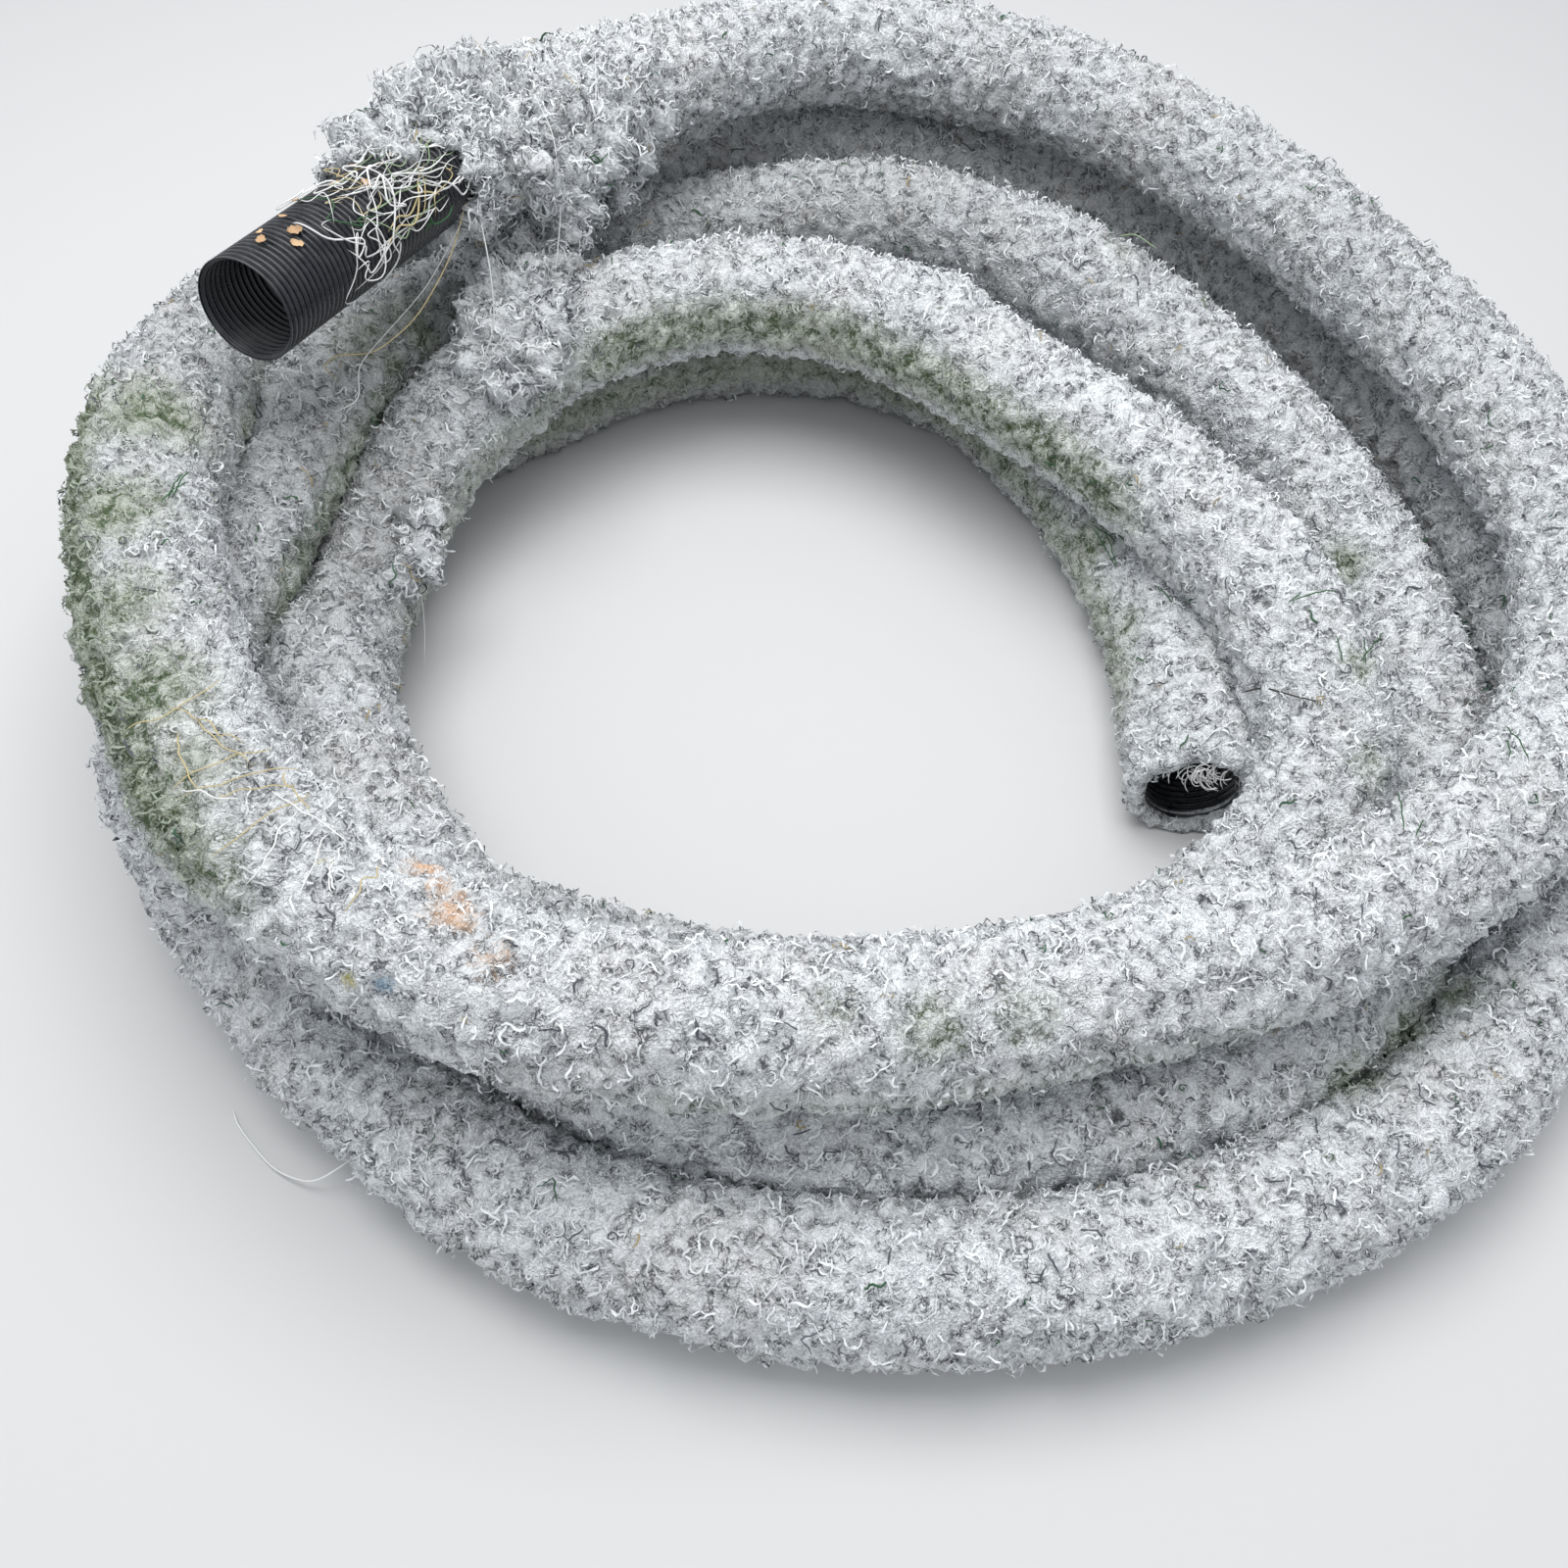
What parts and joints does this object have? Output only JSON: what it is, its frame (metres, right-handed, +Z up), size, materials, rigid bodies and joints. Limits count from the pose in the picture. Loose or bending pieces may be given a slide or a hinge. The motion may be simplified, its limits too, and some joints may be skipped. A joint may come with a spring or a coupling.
{
  "type": "coil of drain pipe",
  "caption": "Coil of black corrugated PVC land drain pipe in a grey fibre envelope, with one end left bare and its other mouth inside the coil.",
  "frame": {"origin": "middle of the coil's footprint, on the ground", "axes": "+Z up, -Y towards the side from which the bare end is at the back left, +X to the right"},
  "size_m": [1.9067, 2.0183, 0.5616],
  "materials": {
    "pipe_plastic": "satin",
    "envelope_fibre": "matte"
  },
  "bodies": {
    "root": {"drain_pipe": "pipe_plastic", "fibre_envelope": "envelope_fibre"}
  },
  "joints": []
}
